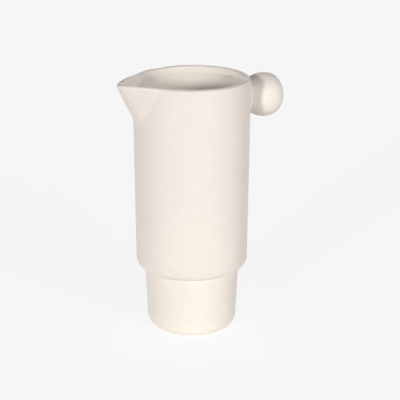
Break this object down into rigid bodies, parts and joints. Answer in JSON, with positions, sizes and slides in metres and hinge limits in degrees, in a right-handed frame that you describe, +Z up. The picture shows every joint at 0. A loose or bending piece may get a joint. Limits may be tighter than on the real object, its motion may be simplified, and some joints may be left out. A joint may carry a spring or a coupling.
{
  "type": "pitcher",
  "caption": "Tall ivory ceramic table pitcher: a barrel on a narrower drum, with a folded pouring spout and a ball on the wall opposite as its handle.",
  "frame": {"origin": "middle of the flat face under the floor, on which the pitcher stands", "axes": "+Z up along the axis of barrel and drum; the spout points along -X and the ball handle lies along +X"},
  "size_m": [0.1616, 0.1076, 0.24],
  "materials": {
    "satin_ivory_glaze": "satin",
    "satin_ivory_glaze_inside": "satin"
  },
  "bodies": {
    "root": {"floor_slab": "satin_ivory_glaze", "drum_wall": "satin_ivory_glaze", "shoulder_ring": "satin_ivory_glaze", "barrel_wall": "satin_ivory_glaze", "rim_strip": "satin_ivory_glaze", "spout": "satin_ivory_glaze", "ball_inner_half": "satin_ivory_glaze", "ball_outer_half": "satin_ivory_glaze", "ball_seam_bead": "satin_ivory_glaze", "floor_coil": "satin_ivory_glaze_inside", "shoulder_coil": "satin_ivory_glaze_inside"}
  },
  "joints": []
}
